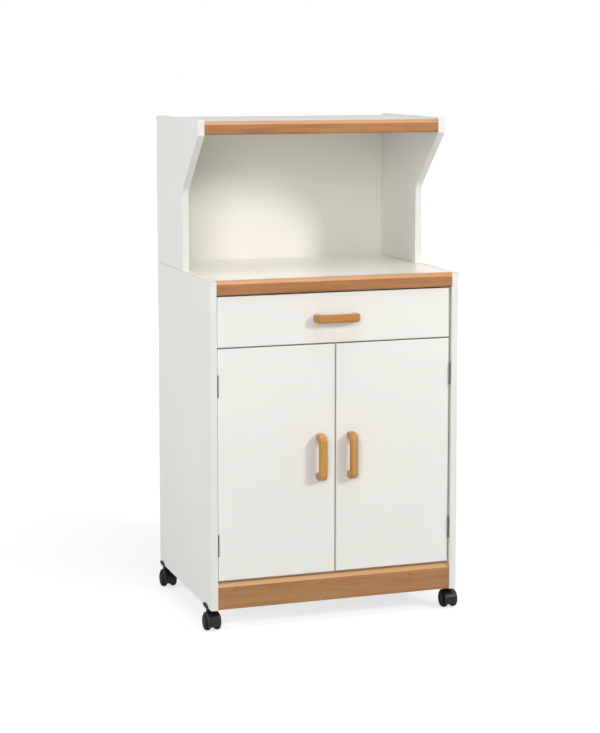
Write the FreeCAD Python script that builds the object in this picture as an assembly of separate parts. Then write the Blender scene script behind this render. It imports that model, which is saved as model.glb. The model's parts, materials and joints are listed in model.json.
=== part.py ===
"""Rolling oven cart: a cabinet with a drawer and two doors under an open hutch, on four casters.

Millimetres. X runs to the right, Y to the back and Z up. The origin is on the floor, under the
middle of the whole cart. Left and right are as seen from the front.
"""
import FreeCAD, Part
import math
import os
from FreeCAD import Placement, Rotation, Vector

# Carcass boards
CABINET_WIDTH = 591.0
END_DEPTH = 450.0
LOWER_END_HEIGHT = 740.0
UPPER_END_HEIGHT = 350.0
BOARD = 16.0
EDGE_RADIUS = 1.2

# Outline of an upper end: a narrow foot, a slope and an upright brow
FOOT_DEPTH = 225.0
BROW_DEPTH = 361.0
THROAT_HEIGHT = 184.0
BROW_HEIGHT = 36.0
THROAT_RADIUS = 26.0
BROW_RADIUS = 4.0
TOP_RECESS = 4.0

# Oak trims and kickboard
TRIM_HEIGHT = 32.0
HUTCH_TRIM_HEIGHT = 30.0
TRIM_DEPTH = 18.0
TRIM_BEVEL = 7.5
TRIM_FOOT_RADIUS = 5.0
ARRIS_RADIUS = 2.5
TONGUE_HEIGHT = 4.0
TONGUE_DEPTH = 8.0
TONGUE_PLAY = 0.1
KICK_HEIGHT = 62.0
KICK_SETBACK = 2.5
KICK_DROP = 1.8
KICK_BEVEL = 9.0

# Faces of the drawer and the doors
FACE_SETBACK = 7.0
FACE_RADIUS = 1.5
REVEAL = 3.2
CENTRE_GAP = 3.2
DRAWER_FRONT_HEIGHT = 113.0

# Backs, held in rabbets
BACK_BOARD = 3.0
BACK_INSET = 1.0
RABBET_WIDTH = 8.0
RABBET_PLAY = 0.5
NAIL_RADIUS = 0.8
NAIL_LENGTH = 20.0
NAIL_HEAD_RADIUS = 2.2
NAIL_HEAD_HEIGHT = 0.6
NAIL_INSET = 4.0
SIDE_NAIL_SHARES = (0.12, 0.36, 0.62, 0.88)
ROW_NAIL_SHARES = (-0.6, 0.0, 0.6)

# Cross rail and adjustable shelf
RAIL_DEPTH = 60.0
RAIL_LAP = 2.0
STOP_GAP = 1.0
SHELF_RISE = 240.0
SHELF_SETBACK = 24.0
SHELF_SIDE_PLAY = 1.0
SHELF_BACK_PLAY = 4.0
SHELF_RADIUS = 1.0
PIN_RADIUS = 2.5
PIN_DEPTH = 9.0
PIN_REACH = 9.0
PIN_PAD = 3.0
PIN_HOLE_PITCH = 32.0
PIN_ROWS = (-1, 0, 1)
PIN_COLUMN_SHARES = (0.12, 0.86)

# Cam joints and dowels
CAM_RADIUS = 7.5
CAM_HEIGHT = 12.5
CAM_INSET = 24.0
CAM_PLAY = 0.1
CAM_SLOT_WIDTH = 2.0
CAM_SLOT_DEPTH = 1.5
CAM_BOLT_RADIUS = 3.0
CAM_BOLT_DEPTH = 10.0
CAM_SHARES = (0.16, 0.74)
RAIL_CAM_SHARES = (0.5,)
DOWEL_RADIUS = 4.0
DOWEL_LENGTH = 30.0
DOWEL_END_DEPTH = 10.0
DOWEL_FOOT_SHARES = (0.2, 0.72)
DOWEL_KICK_SHARES = (0.25, 0.7)

# Low-headed screws of the hinges, runners, catch and strikes
SCREW_RADIUS = 1.6
SCREW_LENGTH = 11.0
SCREW_HEAD_RADIUS = 3.0
SCREW_HEAD_HEIGHT = 1.0
SCREW_SLOT_WIDTH = 0.9
SCREW_SLOT_DEPTH = 0.6

# Butt hinges, wrapped round the door edge
LEAF = 1.0
LEAF_PLAY = 0.5
HINGE_HEIGHT = 48.0
HINGE_INSET = 82.0
HINGE_RADIUS = 2.0
HINGE_FACE_GAP = 0.4
HINGE_END_GAP = 0.3
HINGE_PIN_RADIUS = 1.0
HINGE_PIN_PLAY = 0.05
HINGE_PIN_CAP = 0.8
KNUCKLE_SHARE = 0.22
KNUCKLE_PLAY = 0.3
FRAME_LEAF_REACH = 24.0
DOOR_LEAF_REACH = 24.0
LEAF_SCREW_SHARE = 0.6
LEAF_SCREW_SPREAD_SHARE = 0.3

# Wooden pulls and their machine screws
PULL_LENGTH = 107.0
PULL_WIDTH = 19.0
PULL_PROJECTION = 28.0
PULL_BAR = 12.0
PULL_LEG = 17.0
PULL_OUTER_RADIUS = 17.0
PULL_INNER_RADIUS = 10.0
PULL_FRONT_EDGE_RADIUS = 5.4
PULL_GAP_EDGE_RADIUS = 3.4
PULL_OFFSET = 37.0
DOOR_PULL_SHARE = 0.512
PULL_SCREW_RADIUS = 2.0
PULL_SCREW_BITE = 14.0
PULL_SCREW_HEAD_RADIUS = 4.0
PULL_SCREW_HEAD_HEIGHT = 2.4

# Magnetic catch and strikes
CATCH_WIDTH = 44.0
CATCH_DEPTH = 18.0
CATCH_HEIGHT = 13.0
CATCH_GAP = 0.4
CATCH_EAR = 10.0
CATCH_EAR_HEIGHT = 3.0
MAGNET_WIDTH = 14.0
MAGNET_HEIGHT = 6.0
MAGNET_DEPTH = 10.0
STRIKE = 1.2
STRIKE_WIDTH = 16.0
STRIKE_INSET = 3.0
STRIKE_TAIL = 16.0

# Drawer box
DRAWER_SIDE = 12.0
DRAWER_SIDE_HEIGHT = 85.0
DRAWER_BOX_DEPTH = 350.0
DRAWER_BOX_LIFT = 6.0
DRAWER_BOTTOM_RISE = 9.0
DRAWER_GROOVE = 5.0
DRAWER_GROOVE_PLAY = 0.2
DRAWER_TONGUE = 6.0
DRAWER_CORNER_SHARES = (0.3, 0.75)
DRAWER_CORNER_SCREW_LENGTH = 30.0

# Roller runners
RUNNER_SPACE = 12.5
RUNNER_SHEET = 1.2
RUNNER_HEIGHT = 22.0
RUNNER_FLANGE = 9.0
RUNNER_START = 3.0
CABINET_RUNNER_LENGTH = 400.0
DRAWER_RUNNER_SHORTFALL = 5.0
RUNNER_SCREW_SHARES = (0.2, 0.55, 0.9)
DRAWER_RUNNER_SCREW_SHARES = (0.1, 0.45, 0.8)
ROLLER_RADIUS = 9.4
ROLLER_WIDTH = 6.0
ROLLER_GAP = 0.3
ROLLER_SIDE_GAP = 1.3
ROLLER_INSET = 15.0
ROLLER_PIN_RADIUS = 2.5
ROLLER_PIN_PLAY = 0.06
ROLLER_GROOVE_RADIUS = 1.2
LIP_RISE = 0.8
LIP_GAP = 1.8
UNDER_FLANGE = 10.0

# Casters
WHEEL_RADIUS = 20.0
WHEEL_INNER = 5.0
WHEEL_OUTER = 18.5
WHEEL_DOME_RADIUS = 6.5
WHEEL_TREAD_RADIUS = 5.0
WHEEL_RING_RADIUS = 10.5
WHEEL_RING_GROOVE = 0.7
WHEEL_GAP = 1.0
AXLE_RADIUS = 3.0
AXLE_HALF = 12.5
AXLE_PLAY = 0.05
HOOD_WALL = 1.5
HOOD_WIDTH = 32.0
HOOD_SHOULDER = 4.0
HOOD_WEB = 7.0
HOOD_HUB_RADIUS = 8.0
HOOD_LIP_DROP = 25.0
HOOD_TAIL_RISE = 16.0
CASTER_TRAIL = 18.0
BOSS_RADIUS = 8.0
BOSS_RISE = 3.0
SWIVEL_GAP = 0.5
STEM_RADIUS = 4.0
STEM_PLAY = 0.05
STEM_FLOOR = 1.4
STEM_HEAD_CHAMFER = 1.0
SHOE_BASE = 4.0
SHOE_WALL = 1.5
SHOE_LENGTH = 45.0
SHOE_CHEEK = 8.0
SLEEVE_RADIUS = 5.5
SLEEVE_LENGTH = 32.0
SLEEVE_ROOF = 3.0
FRONT_STEM_INSET = 45.0
REAR_STEM_INSET = 23.0

# One overrun for every cut, and the tolerance for finding edges
OVERRUN = 5.0
SAME = 1e-4

X_AXIS = Vector(1, 0, 0)
Y_AXIS = Vector(0, 1, 0)
Z_AXIS = Vector(0, 0, 1)
SIDES = {"left": -1, "right": 1}

# The drawer's runner goes with its box
DRAWER_RUNNER_LENGTH = DRAWER_BOX_DEPTH - DRAWER_RUNNER_SHORTFALL

# Planes across the cart
X_OUT = CABINET_WIDTH / 2
X_IN = X_OUT - BOARD
X_MID = X_OUT - BOARD / 2
SIDE_GAP = 2 * LEAF + LEAF_PLAY
X_FACE = X_IN - SIDE_GAP
X_BOX = X_IN - RUNNER_SPACE
X_HINGE = X_IN - HINGE_END_GAP - HINGE_RADIUS

# Planes from front to back
Y_FRONT = -(END_DEPTH + FACE_SETBACK - PULL_PROJECTION) / 2
Y_BACK = Y_FRONT + END_DEPTH
Y_BACK_FACE = Y_BACK - BACK_INSET - BACK_BOARD
Y_FACE = Y_FRONT + FACE_SETBACK
Y_FACE_BACK = Y_FACE + BOARD
Y_KICK = Y_FRONT + KICK_SETBACK
Y_RAIL = Y_FACE_BACK + STOP_GAP
Y_FOOT = Y_BACK - FOOT_DEPTH
Y_BROW = Y_BACK - BROW_DEPTH
Y_HINGE = Y_FACE - HINGE_FACE_GAP - HINGE_RADIUS
Y_CATCH = Y_FACE_BACK + STRIKE + CATCH_GAP
Y_RUNNER = Y_FACE_BACK + RUNNER_START
Y_FRONT_ROLLER = Y_RUNNER + ROLLER_INSET
Y_REAR_ROLLER = Y_RUNNER + DRAWER_RUNNER_LENGTH - ROLLER_INSET
Y_STEMS = {"front": Y_FRONT + FRONT_STEM_INSET, "rear": Y_BACK - REAR_STEM_INSET}

# Levels of the casters, which carry the ends
HOOD_INNER_RADIUS = WHEEL_RADIUS + WHEEL_GAP
HOOD_RADIUS = HOOD_INNER_RADIUS + HOOD_WALL
Z_AXLE = WHEEL_RADIUS
Z_BOSS = Z_AXLE + HOOD_RADIUS + BOSS_RISE
Z_BASE = Z_BOSS + SWIVEL_GAP + SHOE_BASE

# Levels of the cabinet and the hutch
Z_DECK = Z_BASE + LOWER_END_HEIGHT
Z_TOP = Z_DECK + UPPER_END_HEIGHT
Z_HUTCH_TOP = Z_TOP - TOP_RECESS
Z_BOTTOM = Z_BASE + KICK_HEIGHT
Z_DOOR = Z_BOTTOM + REVEAL
Z_DRAWER_TOP = Z_DECK - TRIM_HEIGHT - REVEAL
Z_DRAWER = Z_DRAWER_TOP - DRAWER_FRONT_HEIGHT
Z_DOOR_TOP = Z_DRAWER - REVEAL
Z_RAIL = Z_DRAWER + RAIL_LAP
Z_BOX = Z_RAIL + DRAWER_BOX_LIFT
Z_BOX_BOTTOM = Z_BOX + DRAWER_BOTTOM_RISE
Z_RUNNER = Z_BOX - RUNNER_SHEET
Z_LIP = Z_RUNNER + RUNNER_HEIGHT + LIP_RISE
Z_FRONT_ROLLER = Z_LIP - ROLLER_GAP - ROLLER_RADIUS
Z_REAR_ROLLER = Z_RUNNER + RUNNER_SHEET + ROLLER_GAP + ROLLER_RADIUS
Z_SHELF = Z_BOTTOM + SHELF_RISE
Z_CATCH = Z_RAIL - BOARD - CATCH_HEIGHT
Z_BACK_SEAM = Z_DECK - BOARD / 2
HINGE_LEVELS = (Z_DOOR + HINGE_INSET, Z_DOOR_TOP - HINGE_INSET)

# Fixed boards between the ends: front edge, underside and places of the cam joints
FIXED_BOARDS = {
    "countertop": (Y_FRONT + TRIM_DEPTH, Y_BACK_FACE, Z_DECK - BOARD, CAM_SHARES),
    "hutch_top": (Y_BROW + TRIM_DEPTH, Y_BACK_FACE, Z_HUTCH_TOP - BOARD, CAM_SHARES),
    "bottom_shelf": (Y_KICK + BOARD, Y_BACK_FACE, Z_BOTTOM - BOARD, CAM_SHARES),
    "cross_rail": (Y_RAIL, Y_RAIL + RAIL_DEPTH, Z_RAIL - BOARD, RAIL_CAM_SHARES),
}

# Back panels: lower and upper edge
BACK_PANELS = {
    "lower_back_panel": (Z_BOTTOM - BOARD, Z_BACK_SEAM),
    "upper_back_panel": (Z_BACK_SEAM, Z_HUTCH_TOP),
}


# Plain shapes

def block(x, y, z):
    """Box between two values on each axis, given in any order."""
    low = Vector(min(x), min(y), min(z))
    high = Vector(max(x), max(y), max(z))
    span = high - low
    return Part.makeBox(span.x, span.y, span.z, low)


def rod(start, direction, radius, length):
    return Part.makeCylinder(radius, length, start, direction)


def prism(points, travel):
    """Closed outline moved along a straight line."""
    return Part.Face(Part.makePolygon(points + points[:1])).extrude(travel)


def joined(pieces):
    """One solid from pieces that meet."""
    return pieces[0].fuse(pieces[1:]).removeSplitter()


def mirrored(shape):
    return shape.mirror(Vector(), X_AXIS)


def placed(shape, seat, outward):
    """Copy of a shape made on the XY plane, seated at a point and facing outward."""
    copy = shape.copy()
    copy.Placement = Placement(seat, Rotation(Z_AXIS, outward))
    return copy


def both_sides(shapes):
    """Shapes made for the left, with their twins on the right."""
    return list(shapes) + [mirrored(shape) for shape in shapes]


def at_share(low, high, share):
    return low + (high - low) * share


def runs_along(edge, axis):
    """True for a straight edge parallel to an axis."""
    if not isinstance(edge.Curve, (Part.Line, Part.LineSegment)):
        return False
    return abs(abs(edge.tangentAt(edge.FirstParameter).dot(axis)) - 1) < SAME


def same(value, target):
    return abs(value - target) < SAME


def softened(shape, radius, picked):
    """Fillet of the edges that the test picks."""
    return shape.makeFillet(radius, [edge for edge in shape.Edges if picked(edge)])


def softened_face(board, radius, y_face):
    """Board with the edges of its front face rounded."""
    def on_front(edge):
        return all(same(vertex.Point.y, y_face) for vertex in edge.Vertexes)
    return softened(board, radius, on_front)


# Fasteners

def screw(length):
    """Low-headed screw, its seat at the origin and its shank pointing down, with a crossed drive."""
    head = rod(Vector(), Z_AXIS, SCREW_HEAD_RADIUS, SCREW_HEAD_HEIGHT)
    head = softened(head, SCREW_HEAD_HEIGHT / 2, lambda edge: same(edge.CenterOfMass.z, SCREW_HEAD_HEIGHT)
                    and len(edge.Vertexes) == 1)
    half_width = SCREW_SLOT_WIDTH / 2
    half_length = SCREW_HEAD_RADIUS / 2
    depth = (SCREW_HEAD_HEIGHT - SCREW_SLOT_DEPTH, SCREW_HEAD_HEIGHT + OVERRUN)
    drive = [block((-half_width, half_width), (-half_length, half_length), depth),
             block((-half_length, half_length), (-half_width, half_width), depth)]
    shank = rod(Vector(), -Z_AXIS, SCREW_RADIUS, length)
    return joined([head.cut(drive), shank])


def screw_hole(seat, outward, length):
    """Hole for a screw, open a little above the seat."""
    return rod(seat + outward * OVERRUN, -outward, SCREW_RADIUS, length + OVERRUN)


def pull_screw():
    """Machine screw through a board into a pull leg, its seat at the origin."""
    head = rod(Vector(), Z_AXIS, PULL_SCREW_HEAD_RADIUS, PULL_SCREW_HEAD_HEIGHT)
    shank = rod(Vector(), -Z_AXIS, PULL_SCREW_RADIUS, BOARD + PULL_SCREW_BITE)
    half_width = SCREW_SLOT_WIDTH / 2
    half_length = PULL_SCREW_HEAD_RADIUS + OVERRUN
    slot = block((-half_width, half_width), (-half_length, half_length),
                 (PULL_SCREW_HEAD_HEIGHT - SCREW_SLOT_WIDTH, PULL_SCREW_HEAD_HEIGHT + OVERRUN))
    return joined([head.cut(slot), shank])


def pull_screw_hole(seat, outward):
    return rod(seat + outward * OVERRUN, -outward, PULL_SCREW_RADIUS, BOARD + PULL_SCREW_BITE + OVERRUN)


# Cam joints

def cam_places(name):
    """Places of a board's cam joints on its left end, at the middle of its thickness."""
    front, back, underside, shares = FIXED_BOARDS[name]
    return [Vector(-X_IN, at_share(front, back, share), underside + BOARD / 2) for share in shares]


def cam_bolt(place, play=0):
    """Bolt from the left end into a board, as far as the middle of its cam."""
    start = place - X_AXIS * CAM_BOLT_DEPTH
    return rod(start, X_AXIS, CAM_BOLT_RADIUS + play, CAM_BOLT_DEPTH + CAM_INSET)


def cam_pocket(place, play=0):
    """Round pocket in the underside of a board."""
    start = place + X_AXIS * CAM_INSET - Z_AXIS * (BOARD / 2)
    return rod(start, Z_AXIS, CAM_RADIUS + play, CAM_HEIGHT + play)


def cam_lock(place):
    """Cam with a hole for its bolt and a slot for the driver."""
    middle = place + X_AXIS * CAM_INSET - Z_AXIS * (BOARD / 2)
    half = CAM_SLOT_WIDTH / 2
    slot = block((middle.x - half, middle.x + half),
                 (middle.y - CAM_RADIUS / 2, middle.y + CAM_RADIUS / 2),
                 (middle.z - OVERRUN, middle.z + CAM_SLOT_DEPTH))
    return cam_pocket(place).cut([cam_bolt(place, CAM_PLAY), slot])


def all_cam_places():
    return [place for name in FIXED_BOARDS for place in cam_places(name)]


def cam_locks():
    return both_sides([cam_lock(place) for place in all_cam_places()])


def cam_bolts():
    return both_sides([cam_bolt(place) for place in all_cam_places()])


# Dowels

def dowels():
    """Dowels of the left side: upper end on lower end, and kickboard on lower end."""
    pegs = []
    for share in DOWEL_FOOT_SHARES:
        foot = Vector(-X_MID, at_share(Y_FOOT, Y_BACK, share), Z_DECK - DOWEL_LENGTH / 2)
        pegs.append(rod(foot, Z_AXIS, DOWEL_RADIUS, DOWEL_LENGTH))
    for share in DOWEL_KICK_SHARES:
        start = Vector(-X_IN - DOWEL_END_DEPTH, Y_KICK + BOARD / 2, at_share(Z_BASE, Z_BOTTOM - BOARD, share))
        pegs.append(rod(start, X_AXIS, DOWEL_RADIUS, DOWEL_LENGTH))
    return pegs


# Backs and their nails

def nail_places(name):
    """Places of a back panel's nails on its rear face."""
    bottom, top = BACK_PANELS[name]
    rear = Y_BACK_FACE + BACK_BOARD
    x_side = X_IN + RABBET_WIDTH / 2
    sides = [Vector(side * x_side, rear, at_share(bottom, top, share))
             for side in SIDES.values() for share in SIDE_NAIL_SHARES]
    rows = [Vector(X_IN * share, rear, level)
            for share in ROW_NAIL_SHARES for level in (bottom + NAIL_INSET, top - NAIL_INSET)]
    return sides + rows


def nail(place):
    head = rod(place, Y_AXIS, NAIL_HEAD_RADIUS, NAIL_HEAD_HEIGHT)
    return joined([head, rod(place, -Y_AXIS, NAIL_RADIUS, NAIL_LENGTH)])


def back_nails():
    return [nail(place) for name in BACK_PANELS for place in nail_places(name)]


def nail_holes():
    return [rod(place, -Y_AXIS, NAIL_RADIUS, NAIL_LENGTH)
            for name in BACK_PANELS for place in nail_places(name)]


def back_panel(name):
    half = X_IN + RABBET_WIDTH - RABBET_PLAY
    sheet = block((-half, half), (Y_BACK_FACE, Y_BACK_FACE + BACK_BOARD), BACK_PANELS[name])
    return sheet.cut(nail_holes())


def rabbet():
    """Step along the rear inner edges of the left ends."""
    return block((-X_IN - RABBET_WIDTH, -X_IN + OVERRUN), (Y_BACK_FACE, Y_BACK + OVERRUN),
                 (Z_BOTTOM - BOARD, Z_TOP + OVERRUN))


# Ends

def shelf_pin_places(rows):
    """Places of the left end's shelf pin holes, at the axis of each pin."""
    front = Y_RAIL + SHELF_SETBACK
    level = Z_SHELF - PIN_PAD
    return [Vector(-X_IN, at_share(front, Y_BACK_FACE, share), level + row * PIN_HOLE_PITCH)
            for share in PIN_COLUMN_SHARES for row in rows]


def lower_end():
    """Left lower end, with the holes of everything that it carries."""
    board = block((-X_OUT, -X_IN), (Y_FRONT, Y_BACK), (Z_BASE, Z_DECK))
    board = softened(board, EDGE_RADIUS,
                     lambda edge: runs_along(edge, Z_AXIS) and same(edge.CenterOfMass.y, Y_FRONT))
    holes = [cam_bolt(place) for place in all_cam_places()] + dowels() + nail_holes() + [rabbet()]
    holes += [screw_hole(seat, X_AXIS, SCREW_LENGTH) for seat in cabinet_wall_screws()]
    holes += [rod(place - X_AXIS * PIN_DEPTH, X_AXIS, PIN_RADIUS, PIN_DEPTH + OVERRUN)
              for place in shelf_pin_places(PIN_ROWS)]
    holes += [rod(Vector(-X_MID, y_stem, Z_BASE - OVERRUN), Z_AXIS, SLEEVE_RADIUS, SLEEVE_LENGTH + OVERRUN)
              for y_stem in Y_STEMS.values()]
    return board.cut(holes)


def upper_end():
    """Left upper end: narrow foot, slope and upright brow."""
    z_slope = Z_DECK + THROAT_HEIGHT
    z_brow = Z_TOP - BROW_HEIGHT
    outline = [(Y_BACK, Z_DECK), (Y_FOOT, Z_DECK), (Y_FOOT, z_slope),
               (Y_BROW, z_brow), (Y_BROW, Z_TOP), (Y_BACK, Z_TOP)]
    board = prism([Vector(-X_OUT, y, z) for y, z in outline], X_AXIS * BOARD)
    board = softened(board, THROAT_RADIUS, lambda edge: runs_along(edge, X_AXIS)
                     and same(edge.CenterOfMass.z, z_slope))
    board = softened(board, BROW_RADIUS, lambda edge: runs_along(edge, X_AXIS)
                     and same(edge.CenterOfMass.z, z_brow))
    board = softened(board, EDGE_RADIUS, on_upper_front)
    return board.cut([cam_bolt(place) for place in all_cam_places()] + dowels() + nail_holes() + [rabbet()])


def on_upper_front(edge):
    """True for the long edges down the front of an upper end, its bends included."""
    middle = edge.CenterOfMass
    on_a_face = same(middle.x, -X_OUT) or same(middle.x, -X_IN)
    level = same(middle.z, Z_DECK) or same(middle.z, Z_TOP)
    return on_a_face and not level and middle.y < Y_BACK - SAME


# Boards between the ends

def trim_groove(y_front, z_top):
    """Groove in a board's front edge, for the tongue of its trim."""
    middle = z_top - BOARD / 2
    half = TONGUE_HEIGHT / 2 + TONGUE_PLAY
    return block((-X_IN - OVERRUN, X_IN + OVERRUN), (y_front - OVERRUN, y_front + TONGUE_DEPTH + TONGUE_PLAY),
                 (middle - half, middle + half))


def fixed_board(name):
    """Board between the ends, with its cam pockets, bolt holes and nail holes."""
    front, back, underside, shares = FIXED_BOARDS[name]
    board = block((-X_IN, X_IN), (front, back), (underside, underside + BOARD))
    holes = []
    for place in cam_places(name):
        holes += both_sides([cam_bolt(place, CAM_PLAY), cam_pocket(place, CAM_PLAY)])
    holes += nail_holes()
    if name in ("countertop", "hutch_top"):
        holes.append(trim_groove(front, underside + BOARD))
    if name == "cross_rail":
        holes += [screw_hole(seat, -Z_AXIS, SCREW_LENGTH) for seat in catch_screw_seats()]
    return board.cut(holes)


def bevelled_strip(y_front, y_back, z_bottom, z_top, bevel, foot_radius):
    """Strip between the ends with a softened bevel along its upper front edge and a rounded lower one."""
    outline = [(y_front, z_bottom), (y_back, z_bottom), (y_back, z_top), (y_front + bevel, z_top),
               (y_front, z_top - bevel)]
    strip = prism([Vector(-X_IN, y, z) for y, z in outline], X_AXIS * (2 * X_IN))

    def at_foot(edge):
        middle = edge.CenterOfMass
        return runs_along(edge, X_AXIS) and same(middle.y, y_front) and same(middle.z, z_bottom)

    def beside_bevel(edge):
        middle = edge.CenterOfMass
        below_top = z_top - middle.z
        return runs_along(edge, X_AXIS) and middle.y < y_front + bevel + SAME and below_top < bevel + SAME
    return softened(softened(strip, foot_radius, at_foot), ARRIS_RADIUS, beside_bevel)


def trim(y_front, z_top, height):
    """Oak trim with a tongue that enters the board behind it."""
    strip = bevelled_strip(y_front, y_front + TRIM_DEPTH, z_top - height, z_top, TRIM_BEVEL, TRIM_FOOT_RADIUS)
    middle = z_top - BOARD / 2
    tongue = block((-X_IN, X_IN), (y_front + TRIM_DEPTH, y_front + TRIM_DEPTH + TONGUE_DEPTH),
                   (middle - TONGUE_HEIGHT / 2, middle + TONGUE_HEIGHT / 2))
    return joined([strip, tongue])


def kickboard():
    """Oak board under the doors, its top a little below the bottom shelf's."""
    strip = bevelled_strip(Y_KICK, Y_KICK + BOARD, Z_BASE, Z_BOTTOM - KICK_DROP, KICK_BEVEL, ARRIS_RADIUS)
    return strip.cut(both_sides(dowels()))


def adjustable_shelf():
    half = X_IN - SHELF_SIDE_PLAY
    front = Y_RAIL + SHELF_SETBACK
    board = block((-half, half), (front, Y_BACK_FACE - SHELF_BACK_PLAY), (Z_SHELF, Z_SHELF + BOARD))
    return softened_face(board, SHELF_RADIUS, front)


def shelf_pins():
    """Pins under the shelf, each with a flat pad on top."""
    pins = []
    for place in shelf_pin_places((0,)):
        peg = rod(place - X_AXIS * PIN_DEPTH, X_AXIS, PIN_RADIUS, PIN_DEPTH + PIN_REACH)
        pad = block((place.x, place.x + PIN_REACH), (place.y - 2 * PIN_RADIUS, place.y + 2 * PIN_RADIUS),
                    (place.z, place.z + PIN_PAD))
        pins.append(joined([peg, pad]))
    return both_sides(pins)


# Hinges

def hinge_knuckle(z_bottom, z_top):
    return rod(Vector(-X_HINGE, Y_HINGE, z_bottom), Z_AXIS, HINGE_RADIUS, z_top - z_bottom)


def hinge_bore(level):
    return rod(Vector(-X_HINGE, Y_HINGE, level - HINGE_HEIGHT), Z_AXIS,
               HINGE_PIN_RADIUS + HINGE_PIN_PLAY, 2 * HINGE_HEIGHT)


def hinge_heights(level):
    """Bottom and top of a hinge, and of its middle knuckle."""
    low = level - HINGE_HEIGHT / 2
    high = level + HINGE_HEIGHT / 2
    return low, at_share(low, high, KNUCKLE_SHARE), at_share(high, low, KNUCKLE_SHARE), high


def leaf_screw_levels(level):
    spread = HINGE_HEIGHT * LEAF_SCREW_SPREAD_SHARE
    return level - spread, level + spread


def frame_leaf(level):
    """Leaf on the left end, with the two outer knuckles."""
    low, middle_low, middle_high, high = hinge_heights(level)
    plate = block((-X_IN, -X_IN + LEAF), (Y_HINGE, Y_FACE_BACK + FRAME_LEAF_REACH), (low, high))
    notch = block((-X_IN - OVERRUN, -X_IN + OVERRUN),
                  (Y_HINGE - OVERRUN, Y_HINGE + HINGE_RADIUS + KNUCKLE_PLAY),
                  (middle_low - KNUCKLE_PLAY / 2, middle_high + KNUCKLE_PLAY / 2))
    knuckles = [hinge_knuckle(low, middle_low - KNUCKLE_PLAY / 2),
                hinge_knuckle(middle_high + KNUCKLE_PLAY / 2, high)]
    leaf = joined([plate.cut(notch)] + knuckles)
    holes = [screw_hole(seat, X_AXIS, SCREW_LENGTH) for seat in frame_leaf_screw_seats(level)]
    return leaf.cut(holes + [hinge_bore(level)])


def frame_leaf_screw_seats(level):
    y_seat = Y_FACE_BACK + FRAME_LEAF_REACH * LEAF_SCREW_SHARE
    return [Vector(-X_IN + LEAF, y_seat, z) for z in leaf_screw_levels(level)]


def door_leaf(level):
    """Leaf round the left door's edge, with the middle knuckle."""
    low, middle_low, middle_high, high = hinge_heights(level)
    edge_x = (-X_FACE - LEAF, -X_FACE)
    front = block(edge_x, (Y_HINGE, Y_FACE), (middle_low + KNUCKLE_PLAY / 2, middle_high - KNUCKLE_PLAY / 2))
    edge = block(edge_x, (Y_FACE, Y_FACE_BACK + LEAF), (low, high))
    flap = block((-X_FACE - LEAF, -X_FACE + DOOR_LEAF_REACH), (Y_FACE_BACK, Y_FACE_BACK + LEAF), (low, high))
    knuckle = hinge_knuckle(middle_low + KNUCKLE_PLAY / 2, middle_high - KNUCKLE_PLAY / 2)
    holes = [screw_hole(seat, Y_AXIS, SCREW_LENGTH) for seat in door_leaf_screw_seats(level)]
    return joined([front, edge, flap, knuckle]).cut(holes + [hinge_bore(level)])


def door_leaf_screw_seats(level):
    x_seat = -X_FACE + DOOR_LEAF_REACH * LEAF_SCREW_SHARE
    return [Vector(x_seat, Y_FACE_BACK + LEAF, z) for z in leaf_screw_levels(level)]


def hinge_pin(level):
    """Pin through the three knuckles, with a cap at each end."""
    low, middle_low, middle_high, high = hinge_heights(level)
    foot = Vector(-X_HINGE, Y_HINGE, low)
    caps = [rod(foot, -Z_AXIS, HINGE_RADIUS, HINGE_PIN_CAP),
            rod(foot + Z_AXIS * HINGE_HEIGHT, Z_AXIS, HINGE_RADIUS, HINGE_PIN_CAP)]
    return joined([rod(foot, Z_AXIS, HINGE_PIN_RADIUS, HINGE_HEIGHT)] + caps)


# Pulls

def pull():
    """Wooden pull on its seat at the origin, its length along Z and its bar towards -Y."""
    end = PULL_LENGTH / 2
    inner = end - PULL_LEG
    bar = PULL_PROJECTION - PULL_BAR
    half = PULL_WIDTH / 2
    solid = block((-half, half), (-PULL_PROJECTION, 0), (-end, end))
    solid = softened(solid, PULL_OUTER_RADIUS, lambda edge: runs_along(edge, X_AXIS)
                     and same(edge.CenterOfMass.y, -PULL_PROJECTION))
    solid = softened(solid, PULL_FRONT_EDGE_RADIUS, lambda edge: same(abs(edge.CenterOfMass.x), half)
                     and edge.CenterOfMass.y < -SAME)
    gap = block((-half - OVERRUN, half + OVERRUN), (-bar, OVERRUN), (-inner, inner))
    gap = softened(gap, PULL_INNER_RADIUS, lambda edge: runs_along(edge, X_AXIS)
                   and same(edge.CenterOfMass.y, -bar))
    solid = solid.cut(gap)

    def round_the_gap(edge):
        middle = edge.CenterOfMass
        within = -bar - SAME < middle.y < -SAME and abs(middle.z) < inner + SAME
        return within and same(abs(middle.x), half)
    solid = softened(solid, PULL_GAP_EDGE_RADIUS, round_the_gap)
    reach = end - PULL_LEG / 2
    holes = [pull_screw_hole(Vector(0, BOARD, z), Y_AXIS) for z in (-reach, reach)]
    return solid.cut(holes)


def door_pull_seat():
    return Vector(-PULL_OFFSET, Y_FACE, at_share(Z_DOOR, Z_DOOR_TOP, DOOR_PULL_SHARE))


def door_pull():
    seat = door_pull_seat()
    return pull().translated(seat)


def drawer_pull_seat():
    return Vector(0, Y_FACE, at_share(Z_DRAWER, Z_DRAWER_TOP, 1 / 2))


def drawer_pull():
    lying = pull().rotated(Vector(), Y_AXIS, math.degrees(math.pi / 2))
    return lying.translated(drawer_pull_seat())


def pull_screw_seats(seat, along):
    """Seats of a pull's screws on the back of its board."""
    reach = PULL_LENGTH / 2 - PULL_LEG / 2
    return [seat + Y_AXIS * BOARD + along * step for step in (-reach, reach)]


# Doors

def door_screw_seats():
    seats = [seat for level in HINGE_LEVELS for seat in door_leaf_screw_seats(level)]
    return seats + [strike_screw_seat()]


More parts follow.
